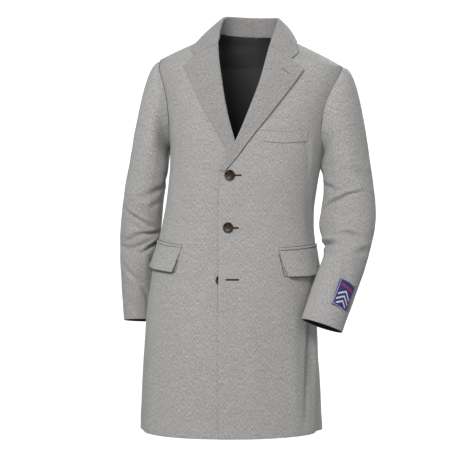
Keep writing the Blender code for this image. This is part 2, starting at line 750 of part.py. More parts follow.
def flap(side):
    """A pocket flap hanging from its mouth, with a slanted front edge."""

    def place(u, v, depth):
        angle, top = pocket_line(u, side)
        drop = FLAP_DROP * v
        angle += side * math.radians(4.0) * v * (1 - u)
        stand_off = 0.0012 + 0.0030 * v**1.5 * (0.6 + 0.4 * math.cos(math.pi * u))
        lift = LAYER + GAP + stand_off * v
        return lifted(body, angle, top - drop, lift - depth)

    return wall(f"pocket_flap_{'left' if side > 0 else 'right'}", 9, 4, place, thickness=LAYER)


def jet(side):
    """The narrow welt above a flap."""

    def place(u, v, depth):
        angle, top = pocket_line(u, side)
        middle = 0.0008 * math.sin(math.pi * v)
        return lifted(body, angle, top + 0.0006 + JET_HEIGHT * v, 0.0016 + GAP + middle - depth)

    return wall(f"pocket_jet_{'left' if side > 0 else 'right'}", 9, 2, place, thickness=0.0016)


def breast_welt():
    """The breast pocket's welt on the left front."""

    def place(u, v, depth):
        x = mixed(WELT_X[0], WELT_X[1], u)
        z = WELT_Z + WELT_RISE * u + WELT_HEIGHT * v - WELT_SAG * math.sin(math.pi * u)
        return lifted(body, angle_at(x, z), z, 0.0018 + GAP - depth)

    return wall("breast_welt", 7, 2, place, thickness=0.0018)


# Buttons


def disc(name, radius, depth, sides, holes):
    """A turned horn button with a raised rim, as a mesh with its back at z 0."""
    outline = [
        (0.0, 0.0),
        (0.86 * radius, 0.0),
        (radius, 0.42 * depth),
        (0.90 * radius, depth),
        (0.74 * radius, 0.86 * depth),
        (0.55 * radius, 0.66 * depth),
        (0.0, 0.64 * depth),
    ]
    bm = bmesh.new()
    verts = [bm.verts.new((r, 0, z)) for r, z in outline]
    edges = [bm.edges.new(pair) for pair in zip(verts, verts[1:])]
    bmesh.ops.spin(
        bm, geom=verts + edges, cent=(0, 0, 0), axis=(0, 0, 1), angle=2 * math.pi, steps=sides, use_merge=True
    )
    bmesh.ops.remove_doubles(bm, verts=bm.verts, dist=1e-5)
    made = finished(name, bm, HORN, crease_angle=35)
    if holes:
        bm = bmesh.new()
        for k in range(4):
            turn = math.pi / 4 + k * math.pi / 2
            centre = Vector((math.cos(turn), math.sin(turn), 0)) * 0.24 * radius
            place = Matrix.Translation(centre + Vector((0, 0, depth / 2)))
            bmesh.ops.create_cone(
                bm, cap_ends=True, segments=6, radius1=0.0012, radius2=0.0012, depth=3 * depth, matrix=place
            )
        cutter = finished(f"{name}_holes", bm, HORN)
        cutter.hide_render = True
        cutter.display_type = "WIRE"
        cutter.parent = made
        cut = made.modifiers.new("holes", "BOOLEAN")
        cut.object = cutter
        cut.operation = "DIFFERENCE"
    return made


def seat(piece, cloth, point, normal, radius):
    """Puts a button facing along a normal, with its back just clear of the cloth that carries it."""
    mesh = cloth.data
    mesh.calc_loop_triangles()
    tree = BVHTree.FromPolygons([vert.co for vert in mesh.vertices], [list(tri.vertices) for tri in mesh.loop_triangles])
    across = normal.orthogonal().normalized()
    beside = normal.cross(across)
    room = []
    for ring in range(5):
        for turn in range(16):
            off = across * math.cos(math.pi / 8 * turn) + beside * math.sin(math.pi / 8 * turn)
            start = point + off * radius * ring / 4 + normal * 0.008
            room.append(tree.ray_cast(start, -normal)[3])
    base = point + normal * (0.008 - min(room) + BUTTON_SEAT)
    piece.matrix_world = Matrix.Translation(base) @ normal.to_track_quat("Z", "Y").to_matrix().to_4x4()


def buttons(cloth_left, cloth_right):
    """Two buttons where they come through the left front, and the open one on the right front."""
    for k, z in enumerate(FASTENED_Z):
        piece = disc(f"front_button_{k + 1}", BUTTON_RADIUS, BUTTON_DEPTH, 16, True)
        base = body(angle_at(0, z), z)
        normal = (lifted(body, angle_at(0, z), z, 0.01) - base).normalized()
        seat(piece, cloth_left, base, normal, BUTTON_RADIUS)
    piece = disc("front_button_3", BUTTON_RADIUS, BUTTON_DEPTH, 16, True)
    x, z = LOOSE_BUTTON
    angle = angle_at(x, z)
    base = lifted(body, angle, z, -under_layer(angle, z))
    normal = (base - lifted(body, angle, z, -0.02)).normalized()
    seat(piece, cloth_right, base, normal, BUTTON_RADIUS)


def cuff_buttons(side, cloth):
    """Three small buttons on the top sleeve beside its back seam."""
    arm, creases = (LEFT_ARM, LEFT_CREASES) if side > 0 else (RIGHT_ARM, RIGHT_CREASES)
    surface = sleeve_surface(arm, creases, side)
    w = SLEEVE_SEAMS[0] + CUFF_BUTTON_TURN
    for k, share in enumerate(CUFF_BUTTON_SHARES):
        base = surface(w, share)
        around = surface(w + 0.02, share) - surface(w - 0.02, share)
        down = surface(w, share + 0.01) - surface(w, share - 0.01)
        normal = around.cross(down).normalized() * side
        name = f"cuff_button_{'left' if side > 0 else 'right'}_{k + 1}"
        piece = disc(name, CUFF_BUTTON_RADIUS, CUFF_BUTTON_DEPTH, 10, False)
        seat(piece, cloth, base, normal, CUFF_BUTTON_RADIUS)


def label():
    """The woven label tacked to the left sleeve above the cuff."""
    surface = sleeve_surface(LEFT_ARM, LEFT_CREASES, 1)
    length = sleeve_length(LEFT_ARM)
    half_turn = LABEL_WIDTH / 2 / LABEL_RADIUS

    def place(u, v, depth):
        w = LABEL_AROUND + mixed(half_turn, -half_turn, u)
        share = 1 - (LABEL_UP + LABEL_LENGTH * (1 - v)) / length
        around = surface(w + 0.02, share) - surface(w - 0.02, share)
        down = surface(w, share + 0.01) - surface(w, share - 0.01)
        normal = around.cross(down).normalized()
        return surface(w, share) + normal * (LABEL_THICKNESS + 2 * GAP - depth)

    return wall("sleeve_label", 4, 4, place, thickness=LABEL_THICKNESS, finish=WOVEN_LABEL)


def main():
    clear_scene()
    fronts = {}
    for side in (1, -1):
        fronts[side] = front(side)
        back(side)
        lapel(side)
        cuff_buttons(side, sleeve(side, "top"))
        sleeve(side, "under")
        flap(side)
        jet(side)
    buttons(fronts[1], fronts[-1])
    collar()
    breast_welt()
    label()


if __name__ == "__main__":
    main()
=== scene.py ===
"""The finished look of a grey wool chesterfield coat: cloth, creases, seams, lining and buttons."""

import math

import bmesh
import bpy
import numpy as np
from mathutils import Matrix, Vector, noise
from mathutils.bvhtree import BVHTree


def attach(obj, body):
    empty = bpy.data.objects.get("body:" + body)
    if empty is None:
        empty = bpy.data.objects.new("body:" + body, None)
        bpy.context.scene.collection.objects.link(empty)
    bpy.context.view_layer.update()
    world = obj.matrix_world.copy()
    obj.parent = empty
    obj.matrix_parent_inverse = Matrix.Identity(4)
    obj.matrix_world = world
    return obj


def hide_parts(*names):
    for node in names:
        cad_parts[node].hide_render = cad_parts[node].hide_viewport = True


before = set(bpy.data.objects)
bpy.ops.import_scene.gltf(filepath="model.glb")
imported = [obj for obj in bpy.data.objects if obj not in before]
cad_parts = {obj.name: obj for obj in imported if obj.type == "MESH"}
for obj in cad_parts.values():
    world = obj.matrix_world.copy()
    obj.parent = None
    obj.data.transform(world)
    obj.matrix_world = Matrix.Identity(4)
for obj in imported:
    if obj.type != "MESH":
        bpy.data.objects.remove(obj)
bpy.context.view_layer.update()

# The cloth
# A light grey wool, woven in a fine broken twill from mixed dark and pale fibres, then brushed to a soft
# nap. Inside, the body and the sleeves are lined with a dark satin.


class Wire:
    """One number in a material. Arithmetic on it adds the nodes that work it out."""

    def __init__(self, finish, socket):
        self.finish = finish
        self.socket = socket

    def math(self, operation, *values):
        node = self.finish.add("ShaderNodeMath", {"operation": operation}, *values)
        return Wire(self.finish, node.outputs[0])

    def __add__(self, other):
        return self.math("ADD", self, other)

    def __radd__(self, other):
        return self.math("ADD", other, self)

    def __sub__(self, other):
        return self.math("SUBTRACT", self, other)

    def __rsub__(self, other):
        return self.math("SUBTRACT", other, self)

    def __mul__(self, other):
        return self.math("MULTIPLY", self, other)

    def __rmul__(self, other):
        return self.math("MULTIPLY", other, self)

    def __truediv__(self, other):
        return self.math("DIVIDE", self, other)

    def __gt__(self, other):
        return self.math("GREATER_THAN", self, other)

    def __lt__(self, other):
        return self.math("LESS_THAN", self, other)


class Finish:
    """A material: its shader's own values are set here, and patterns are linked to it."""

    def __init__(self, name, **own):
        self.material = bpy.data.materials.new(name)
        self.material.use_nodes = True
        self.tree = self.material.node_tree
        self.shader = self.tree.nodes["Principled BSDF"]
        for key, value in own.items():
            self.shader.inputs[key.replace("_", " ")].default_value = value

    def add(self, kind, settings, *values, **named):
        """A node of any kind: its settings first, then the values or links of its sockets."""
        node = self.tree.nodes.new(kind)
        for key, value in settings.items():
            setattr(node, key, value)
        for key, value in [*enumerate(values), *named.items()]:
            socket = node.inputs[key if isinstance(key, int) else key.replace("_", " ")]
            self.put(value, socket)
        return node

    def put(self, value, socket):
        if isinstance(value, Wire):
            value = value.socket
        if isinstance(value, bpy.types.NodeSocket):
            self.tree.links.new(value, socket)
        else:
            socket.default_value = value

    def place(self, kind):
        """The piece's own UV map or its Object coordinates, in metres."""
        return self.add("ShaderNodeTexCoord", {}).outputs[kind]

    def split(self, vector):
        node = self.add("ShaderNodeSeparateXYZ", {}, vector)
        return [Wire(self, socket) for socket in node.outputs]

    def grain(self, vector, scale, stretch=(1, 1, 1), detail=2.0):
        """Noise from 0 to 1 with features 1 / scale metres wide, drawn out along an axis by its stretch."""
        mapped = self.add("ShaderNodeMapping", {}, vector, Scale=[1 / value for value in stretch])
        node = self.add("ShaderNodeTexNoise", {}, Vector=mapped.outputs[0], Scale=scale, Detail=detail)
        return Wire(self, node.outputs["Fac"])

    def mix(self, share, first, second):
        """A mix of two colours, by way of the node's colour sockets, which have only their numbers."""
        node = self.add("ShaderNodeMix", {"data_type": "RGBA"})
        self.put(share, node.inputs[0])
        self.put(first, node.inputs[6])
        self.put(second, node.inputs[7])
        return node.outputs[2]

    def colour(self, socket):
        self.put(socket, self.shader.inputs["Base Color"])

    def relief(self, height, depth):
        bump = self.add("ShaderNodeBump", {}, Height=height, Distance=depth)
        self.put(bump.outputs[0], self.shader.inputs["Normal"])


RIB_PITCH = 0.0019
RIB_TURN = 0.006  # across the cloth, after which the ribs slant the other way


def wool_finish(name, dark, pale):
    """Brushed twill: mixed fibres, faint streaks along the warp and short diagonal ribs."""
    wool = Finish(name, Roughness=0.9, Sheen_Weight=0.25, Sheen_Roughness=0.6, Specular_IOR_Level=0.2)
    across, along, _ = wool.split(wool.place("UV"))
    spots = wool.grain(wool.place("Object"), 640, detail=3.0)
    streaks = wool.grain(wool.place("UV"), 1000, stretch=(1, 6, 1))
    clouds = wool.grain(wool.place("Object"), 38)
    slant = (across.math("PINGPONG", across, RIB_TURN) + along) * (2 * math.pi / RIB_PITCH)
    ribs = slant.math("SINE", slant)
    share = spots * 1.1 + streaks * 1.45 + clouds * 0.10 + ribs * 0.05 - 0.905
    share = share.math("MAXIMUM", share, 0.0)
    wool.colour(wool.mix(share.math("MINIMUM", share, 1.0), dark, pale))
    wool.relief(spots * 0.6 + streaks * 0.5 + ribs * 0.25, 0.0007)
    return wool.material


WOOL = wool_finish("brushed wool", (0.135, 0.132, 0.130, 1), (0.56, 0.552, 0.540, 1))
# On the turned-back lapels and the collar, where the nap lies the other way, the same wool is painted a
# little darker: painted shade.
SHADED_WOOL = wool_finish("wool with painted shade", (0.112, 0.109, 0.107, 1), (0.465, 0.455, 0.445, 1))


LINING_RIB_PITCH = 0.0008


def lining_finish():
    """A dark satin with a fine cross rib."""
    satin = Finish("lining satin", Base_Color=(0.024, 0.024, 0.027, 1), Roughness=0.6)
    _, along, _ = satin.split(satin.place("UV"))
    satin.relief(along.math("SINE", along * (2 * math.pi / LINING_RIB_PITCH)), 0.0001)
    return satin.material


LINING = lining_finish()

# Fronts and backs
# Four panels of wool, sewn at the side seams, the shoulder seams and the centre back, where a vent opens
# below. The left front closes over the right one.

MERGE_DISTANCE = 0.00002
RIM_ANGLE = math.radians(55)
EDGE_RADIUS = 0.0006
SEAM_GROWTH = 0.00017
BACK_GROWTH = 0.00035
BODY_RADIUS = 0.185
HALF_WIDTH_SQUARED = 0.036
HALF_DEPTH_SQUARED = 0.017
# Where the body's middle lies from side to side at each height
BODY_MIDDLE = {
    -1.0: -0.047,
    -0.72: -0.046,
    -0.6: -0.039,
    -0.5: -0.032,
    -0.42: -0.025,
    -0.335: -0.015,
    -0.272: -0.008,
    -0.16: -0.003,
    0.05: 0.0,
}


def at_height(table, z):
    """A table's value at a height, or at each of many."""
    heights = sorted(table)
    return np.interp(z, heights, [table[height] for height in heights])


def soft_step(x, start, end):
    """A smooth rise from 0 at the start to 1 at the end."""
    share = np.clip((x - start) / (end - start), 0, 1)
    return share * share * (3 - 2 * share)


def smooth_copy(node, name, levels):
    """A packed wall with its triangles merged to squares and smoothed, and its rim kept crisp."""
    bm = bmesh.new()
    bm.from_mesh(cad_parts[node].data)
    bmesh.ops.remove_doubles(bm, verts=bm.verts, dist=MERGE_DISTANCE)
    bmesh.ops.join_triangles(
        bm, faces=bm.faces, angle_face_threshold=math.radians(45), angle_shape_threshold=math.radians(70)
    )
    rim = bm.edges.layers.float.new("crease_edge")
    for edge in bm.edges:
        if edge.calc_face_angle(0.0) > RIM_ANGLE:
            edge[rim] = 1.0
    for face in bm.faces:
        sharp = [edge[rim] for edge in face.edges]
        opposite = len(sharp) == 4 and (sharp[0] * sharp[2] or sharp[1] * sharp[3])
        face.material_index = 1 if opposite else 0
    mesh = bpy.data.meshes.new(name)
    bm.to_mesh(mesh)
    bm.free()
    piece = bpy.data.objects.new(name, mesh)
    bpy.context.scene.collection.objects.link(piece)
    rounder = piece.modifiers.new("smooth", "SUBSURF")
    rounder.levels = rounder.render_levels = levels
    smooth = bpy.data.meshes.new_from_object(piece.evaluated_get(bpy.context.evaluated_depsgraph_get()))
    piece.modifiers.clear()
    piece.data = smooth
    bpy.data.meshes.remove(mesh)
    smooth.name = name
    return piece


def points_of(mesh):
    values = np.empty(len(mesh.vertices) * 3)
    mesh.vertices.foreach_get("co", values)
    return values.reshape(-1, 3)


def round_body(points):
    """Each point's turn round the body from the centre front, its height, and its way out."""
    x = points[:, 0] - at_height(BODY_MIDDLE, points[:, 2])
    turn = np.arctan2(x, -points[:, 1])
    sideways, ahead = x / HALF_WIDTH_SQUARED, points[:, 1] / HALF_DEPTH_SQUARED
    out = np.stack([sideways, ahead, np.zeros(len(x))], axis=1)
    return turn, points[:, 2], out / np.linalg.norm(out, axis=1)[:, None]


def close_seams(mesh, growth):
    """Grows a wall's rim until it meets its neighbour across the seam."""
    sides = np.empty(len(mesh.polygons), dtype=np.int32)
    mesh.polygons.foreach_get("material_index", sides)
    grown = points_of(mesh)
    push = np.zeros_like(grown)
    for index in np.flatnonzero(sides):
        face = mesh.polygons[index]
        for corner in face.vertices:
            push[corner] += face.normal
    size = np.linalg.norm(push, axis=1)
    edge = size > 0
    grown[edge] += growth * push[edge] / size[edge, None]
    mesh.polygons.foreach_set("material_index", np.zeros_like(sides))
    return grown


def soft_crease(a, b, crease):
    """How high one crease stands at (a, b): a trough or ridge on a bowed line, with a lip on one side."""
    a0, b0, a1, b1, bow, width, depth, lip = crease
    length = math.hypot(a1 - a0, b1 - b0)
    ahead = ((a - a0) * (a1 - a0) + (b - b0) * (b1 - b0)) / length
    beside = ((b - b0) * (a1 - a0) - (a - a0) * (b1 - b0)) / length
    share = np.clip(ahead / length, 0, 1)
    beyond = ahead - share * length
    beside = beside - bow * 4 * share * (1 - share)
    taper = 0.35 + 0.65 * np.sin(math.pi * share)
    line = np.exp(-((beside / width) ** 2) - (beyond / (1.6 * width)) ** 2)
    edge = np.exp(-(((beside - 1.7 * width) / (1.3 * width)) ** 2) - (beyond / (1.6 * width)) ** 2)
    return depth * taper * (line - lip * edge)


# The body's creases: degrees round from the centre front and height at each end, bow, width, depth, lip
BODY_CREASES = [
    (-15, -0.480, -30, -0.650, 0.004, 0.020, -0.0035, 0.3),
    (76, -0.640, 66, -0.890, 0.002, 0.010, -0.0120, -0.4),
    (58, -0.640, 57, -0.910, 0.002, 0.014, 0.0030, 0.0),
    (84, -0.640, 78, -0.920, 0.002, 0.014, 0.0070, 0.0),
    (52, -0.225, 60, -0.300, 0.002, 0.006, -0.0020, 0.5),
    (92, -0.190, 92, -0.285, 0.000, 0.018, 0.0045, 0.0),
    (58, -0.245, 64, -0.330, 0.002, 0.007, -0.0024, 0.5),
    (-58, -0.225, -64, -0.310, 0.002, 0.008, -0.0018, 0.4),
    (14, -0.345, 34, -0.385, 0.003, 0.014, -0.0012, 0.4),
    (-14, -0.345, -38, -0.392, -0.003, 0.014, -0.0012, 0.4),
    (13, -0.462, 40, -0.470, 0.004, 0.014, -0.0010, 0.4),
    (35, -0.640, 40, -0.900, 0.005, 0.030, -0.0030, 0.5),
    (8, -0.620, 12, -0.900, -0.004, 0.030, -0.0022, 0.4),
    (-45, -0.600, -50, -0.900, 0.006, 0.030, -0.0030, 0.4),
    (-70, -0.430, -76, -0.560, 0.004, 0.018, -0.0028, 0.4),
    (70, -0.380, 76, -0.500, 0.004, 0.018, -0.0028, 0.4),
    (126, -0.180, 138, -0.330, 0.006, 0.018, -0.0034, 0.5),
    (-126, -0.190, -140, -0.320, -0.006, 0.018, -0.0032, 0.5),
    (118, -0.240, 124, -0.380, 0.004, 0.014, -0.0028, 0.4),
    (-118, -0.250, -122, -0.390, 0.004, 0.014, -0.0026, 0.4),
    (160, -0.380, 135, -0.430, 0.004, 0.016, -0.0028, 0.5),
    (-158, -0.392, -132, -0.440, -0.004, 0.016, -0.0026, 0.5),
    (164, -0.430, 140, -0.462, 0.003, 0.013, -0.0020, 0.5),
    (148, -0.560, 151, -0.910, 0.004, 0.026, -0.0045, 0.4),
    (-146, -0.540, -150, -0.910, 0.004, 0.026, -0.0045, 0.4),
    (118, -0.560, 116, -0.910, 0.004, 0.024, -0.0050, 0.4),
    (-114, -0.560, -113, -0.910, 0.004, 0.024, -0.0050, 0.4),
]


UNEVEN_DEPTH = 0.0011
YOKE = (0.03, 0.16)  # how far below the neck the unevenness starts and is whole


def unevenness(points, coarse, fine, fine_share):
    """The slight rise and fall of the cloth, from about 1 down to -1."""
    found = []
    for point in points:
        place = Vector(point)
        found.append(noise.noise(place * coarse) + fine_share * noise.noise(place * fine))
    return np.array(found)


def crumple_body(points):
    """How far the body's creases and its slight unevenness move each point."""
    turn, z, out = round_body(points)
    height = np.zeros(len(points))
    for turn_0, z_0, turn_1, z_1, *rest in BODY_CREASES:
        a_0, a_1 = math.radians(turn_0) * BODY_RADIUS, math.radians(turn_1) * BODY_RADIUS
        height += soft_crease(turn * BODY_RADIUS, z, (a_0, z_0, a_1, z_1, *rest))
    height += UNEVEN_DEPTH * unevenness(points, 13, 31, 0.5) * soft_step(-z, *YOKE)
    return out * height[:, None]


SHOULDER_POINT_Z = -0.069
SHOULDER_TAPER = 0.10  # of the body's radius, from the shoulder point up to the neck
SHOULDER_RISE = (0.141, 0.039)  # how much longer the cloth is than it is high there, at the side and middle


def cut_of_body(points, behind=False):
    """The place of each point on the flat cut: across from the centre front, or the centre back, and up."""
    turn, z, _ = round_body(points)
    if behind:
        turn = np.where(turn < 0, turn + math.pi, turn - math.pi)
    up = np.clip((z - SHOULDER_POINT_Z) / -SHOULDER_POINT_Z, 0, 1.6)
    across = turn * (BODY_RADIUS - SHOULDER_TAPER * np.clip(up, 0, 1))
    at_side, at_middle = SHOULDER_RISE
    rise = up * (at_side * np.sin(turn) ** 2 + at_middle * np.cos(turn) ** 2)
    return np.stack([across, z + rise], axis=1)


def finish_cloth(piece, move, cut, lined=None, growth=SEAM_GROWTH, wool=WOOL):
    """Moves the points into their creases, lays the flat cut as a UV map and gives the inside its lining."""
    mesh = piece.data
    points = close_seams(mesh, growth)
    flat = cut(points)
    points = points + move(points)
    mesh.vertices.foreach_set("co", points.ravel())
    corners = np.empty(len(mesh.loops), dtype=np.int64)
    mesh.loops.foreach_get("vertex_index", corners)
    layer = mesh.uv_layers.new(name="cut")
    layer.data.foreach_set("uv", flat[corners].ravel())
    mesh.materials.clear()
    mesh.materials.append(wool)
    if lined:
        mesh.materials.append(LINING)
        middles, normals = np.empty(len(mesh.polygons) * 3), np.empty(len(mesh.polygons) * 3)
        mesh.polygons.foreach_get("center", middles)
        mesh.polygons.foreach_get("normal", normals)
        inside = lined(middles.reshape(-1, 3), normals.reshape(-1, 3))
        mesh.polygons.foreach_set("material_index", inside.astype(np.int32))
    mesh.update()
    mesh.shade_smooth()
    mesh.set_sharp_from_angle(angle=RIM_ANGLE)
    edge = piece.modifiers.new("soft edge", "BEVEL")
    edge.width = EDGE_RADIUS
    edge.segments = 2
    edge.limit_method = "ANGLE"
    edge.angle_limit = math.radians(60)
    return piece


# The fronts' free edge, as a distance from the centre line at each height, behind which the facing lies
FACING_EDGE = {-0.35: -0.024, -0.26: 0.0035, -0.16: 0.038, -0.06: 0.0605, 0.0: 0.068}
FACING_WIDTH = 0.075


def faces_in(normals, out):
    """Which faces are on a wall's inner side."""
    return (normals * out).sum(axis=1) < -0.3


def lined_front(middles, normals):
    _, z, out = round_body(middles)
    behind = np.abs(middles[:, 0] - at_height(BODY_MIDDLE, z)) - at_height(FACING_EDGE, z)
    return faces_in(normals, out) & (behind > FACING_WIDTH)


def lined_back(middles, normals):
    _, _, out = round_body(middles)
    return faces_in(normals, out)


def cut_of_back(points):
    return cut_of_body(points, behind=True)


BODY_PANELS = [
    ("left_front", "front_left", lined_front, cut_of_body, (0.375, 0.96), 0.300),
    ("right_front", "front_right", lined_front, cut_of_body, (0.375, 0.96), 0.300),
    ("left_back", "back_left", lined_back, cut_of_back, (0.330, 0.97), 0.260),
    ("right_back", "back_right", lined_back, cut_of_back, (0.300, 0.97), 0.240),
]
for name, node, lined, cut, flat, area in BODY_PANELS:
    growth = BACK_GROWTH if "back" in name else SEAM_GROWTH
    panel = finish_cloth(smooth_copy(node, name, 3), crumple_body, cut, lined, growth)
    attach(panel, "root")
    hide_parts(node)

# Sleeves
# Each sleeve is a top and an under piece, sewn along the back and the front of the arm and set into the
# armhole. The cloth breaks into creases above and at the elbow, deepest on the inside of the bend.

LEFT_ARM = [
    (0.170, 0.012, -0.100),
    (0.227, 0.008, -0.312),
    (0.232, 0.010, -0.378),
    (0.231, 0.006, -0.428),
    (0.230, -0.006, -0.478),
    (0.2245, -0.028, -0.528),
    (0.2085, -0.058, -0.577),
    (0.192, -0.091, -0.625),
    (0.176, -0.124, -0.676),
]
RIGHT_ARM = [
    (-0.170, 0.012, -0.100),
    (-0.243, 0.012, -0.312),
    (-0.256, 0.020, -0.378),
    (-0.263, 0.030, -0.428),
    (-0.270, 0.042, -0.478),
    (-0.2735, 0.053, -0.528),
    (-0.275, 0.061, -0.577),
    (-0.276, 0.069, -0.625),
    (-0.2755, 0.075, -0.679),
]
ARM_RADIUS = 0.056
CAP_LENGTH = 0.10  # down from the shoulder, and then the creases fade in
CREASE_FADE = 0.06


def smooth_line(points, pieces):
    """More points on a smooth curve through a few."""
    points = [Vector(point) for point in points]
    points = [2 * points[0] - points[1], *points, 2 * points[-1] - points[-2]]
    found = []
    for a, b, c, d in zip(points, points[1:], points[2:], points[3:]):
        for k in range(pieces):
            s = k / pieces
            bend = 2 * a - 5 * b + 4 * c - d
            swing = 3 * b - a - 3 * c + d
            found.append(0.5 * (2 * b + (c - a) * s + bend * s**2 + swing * s**3))
    return np.array([*found, points[-2]])


def round_arm(points, middle, side):
    """Each point's turn from the arm's outside to its front, its distance down the arm, and its way out."""
    nearest = np.full(len(points), 9.0)
    turn, down, out = np.zeros(len(points)), np.zeros(len(points)), np.zeros((len(points), 3))
    gone = 0.0
    for k, (start, end) in enumerate(zip(middle, middle[1:])):
        step = end - start
        length = np.linalg.norm(step)
        share = ((points - start) @ step) / length**2
        share = np.clip(share, -9 if k == 0 else 0, 9 if k == len(middle) - 2 else 1)
        off = points - start - share[:, None] * step
        away = np.linalg.norm(off, axis=1)
        closer = away < nearest
        front = np.array([0.0, -1.0, 0.0])
        front -= step * (front @ step) / length**2
        front /= np.linalg.norm(front)
        outside = np.cross(step / length, front) * -side
        nearest = np.where(closer, away, nearest)
        turn = np.where(closer, np.arctan2(off @ front, off @ outside), turn)
        down = np.where(closer, gone + share * length, down)
        out = np.where(closer[:, None], off / away[:, None], out)
        gone += length
    return turn, down, out


# The sleeves' creases: degrees round from the outside and metres down at each end, bow, width, depth, lip
LEFT_SLEEVE_CREASES = [
    (154, 0.326, 58, 0.277, 0.004, 0.0050, -0.0090, 0.5),
    (150, 0.342, 66, 0.300, 0.000, 0.0120, 0.0032, 0.0),
    (168, 0.262, 118, 0.278, 0.003, 0.0080, -0.0065, 0.3),
    (100, 0.228, 30, 0.256, 0.003, 0.0085, -0.0036, 0.5),
    (122, 0.352, 76, 0.344, 0.000, 0.0110, -0.0030, 0.3),
    (98, 0.392, 52, 0.412, 0.005, 0.0045, -0.0042, 0.6),
    (186, 0.412, 112, 0.430, 0.002, 0.0065, -0.0135, 0.4),
    (184, 0.395, 176, 0.330, 0.000, 0.0220, 0.0070, 0.0),
    (200, 0.196, 150, 0.190, 0.000, 0.0260, 0.0100, 0.0),
    (190, 0.118, 176, 0.172, 0.000, 0.0240, 0.0110, 0.0),
    (142, 0.407, 36, 0.406, 0.011, 0.0048, -0.0048, 0.6),
    (62, 0.444, 10, 0.420, 0.003, 0.0080, -0.0060, 0.4),
    (140, 0.450, 104, 0.520, 0.004, 0.0100, -0.0038, 0.3),
    (92, 0.470, 60, 0.560, 0.004, 0.0140, -0.0024, 0.3),
    (110, 0.540, 60, 0.556, 0.003, 0.0100, -0.0022, 0.3),
    (60, 0.120, 40, 0.230, 0.004, 0.0180, -0.0024, 0.3),
    (-40, 0.300, -95, 0.322, 0.004, 0.0070, -0.0060, 0.5),
    (-30, 0.356, -100, 0.372, -0.004, 0.0060, -0.0055, 0.5),
    (-50, 0.410, -120, 0.398, 0.004, 0.0080, -0.0050, 0.5),
    (-150, 0.250, -100, 0.282, 0.003, 0.0090, -0.0050, 0.4),
    (-70, 0.150, -60, 0.240, 0.003, 0.0160, -0.0028, 0.3),
    (-60, 0.460, -90, 0.540, 0.003, 0.0110, -0.0034, 0.3),
]
RIGHT_SLEEVE_CREASES = [
    (184, 0.222, 178, 0.286, 0.000, 0.0180, -0.0060, 0.0),
    (168, 0.262, 98, 0.284, 0.002, 0.0085, -0.0063, 0.4),
    (152, 0.300, 112, 0.314, 0.002, 0.0080, -0.0038, 0.3),
    (142, 0.362, 56, 0.324, 0.001, 0.0050, -0.0052, 0.6),
    (114, 0.370, 72, 0.349, 0.000, 0.0075, -0.0029, 0.4),
    (162, 0.373, 92, 0.376, 0.002, 0.0055, -0.0076, 0.5),
    (100, 0.376, 60, 0.398, 0.000, 0.0055, -0.0030, 0.5),
    (26, 0.410, 86, 0.411, 0.002, 0.0050, -0.0037, -0.6),
    (80, 0.411, 138, 0.386, 0.002, 0.0048, -0.0040, -0.5),
    (170, 0.394, 110, 0.421, 0.002, 0.0060, -0.0109, 0.5),
    (56, 0.460, 102, 0.496, 0.002, 0.0065, -0.0047, 0.4),
    (98, 0.490, 128, 0.550, -0.003, 0.0085, -0.0052, 0.4),
    (60, 0.540, 106, 0.572, 0.002, 0.0090, -0.0025, 0.3),
    (134, 0.430, 160, 0.490, 0.003, 0.0100, -0.0042, 0.3),
    (70, 0.110, 60, 0.230, 0.004, 0.0180, -0.0020, 0.3),
    (30, 0.240, 70, 0.270, 0.003, 0.0110, -0.0020, 0.4),
    (-45, 0.310, -110, 0.330, 0.004, 0.0070, -0.0056, 0.5),
    (-40, 0.362, -105, 0.380, -0.004, 0.0060, -0.0052, 0.5),
    (-60, 0.410, -125, 0.402, 0.004, 0.0080, -0.0048, 0.5),
    (-150, 0.245, -105, 0.275, 0.003, 0.0090, -0.0046, 0.4),
    (-60, 0.470, -95, 0.545, 0.003, 0.0110, -0.0032, 0.3),
]


def sleeve_pieces(side, word, arm, creases):
    """Finishes the top and under pieces of one sleeve."""
    middle = smooth_line(arm, 8)

    def crumple(points):
        turn, down, out = round_arm(points, middle, side)
        height = np.zeros(len(points))
        for turn_0, down_0, turn_1, down_1, *rest in creases:
            for whole in (-2 * math.pi, 0.0, 2 * math.pi):
                a_0, a_1 = math.radians(turn_0) * ARM_RADIUS, math.radians(turn_1) * ARM_RADIUS
                height += soft_crease((turn + whole) * ARM_RADIUS, down, (a_0, down_0, a_1, down_1, *rest))
        height += UNEVEN_DEPTH * unevenness(points, 17, 43, 0.6)
        height *= soft_step(down, CAP_LENGTH, CAP_LENGTH + CREASE_FADE)
        return out * height[:, None]

    def cut_of(under):
        def cut(points):
            turn, down, _ = round_arm(points, middle, side)
            if under:
                turn = np.where(turn < 0, turn + 2 * math.pi, turn)
            return np.stack([turn * ARM_RADIUS, -down], axis=1)

        return cut

    def lined(middles, normals):
        _, _, out = round_arm(middles, middle, side)
        return faces_in(normals, out)

    for part, flat, area in (("top", (0.262, 0.64), 0.160), ("under", (0.130, 0.60), 0.062)):
        node = f"{part}_sleeve_{word}"
        piece = smooth_copy(node, f"{word}_{part}_sleeve", 3)
        finish_cloth(piece, crumple, cut_of(part == "under"), lined)
        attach(piece, "root")
        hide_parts(node)


sleeve_pieces(1, "left", LEFT_ARM, LEFT_SLEEVE_CREASES)
sleeve_pieces(-1, "right", RIGHT_ARM, RIGHT_SLEEVE_CREASES)

# Lapels and collar
# The lapels are the fronts' facings, turned back at the roll line. The collar is sewn to them at the
# gorge and folds over its own stand round the neck. The left lapel's edge springs a little off the chest.

GORGE_GROWTH = 0.0004
LAPEL_LIFT = {1: 0.0050, -1: 0.0026}
LAPEL_SLANT = 0.45
COLLAR_RADIUS = 0.09
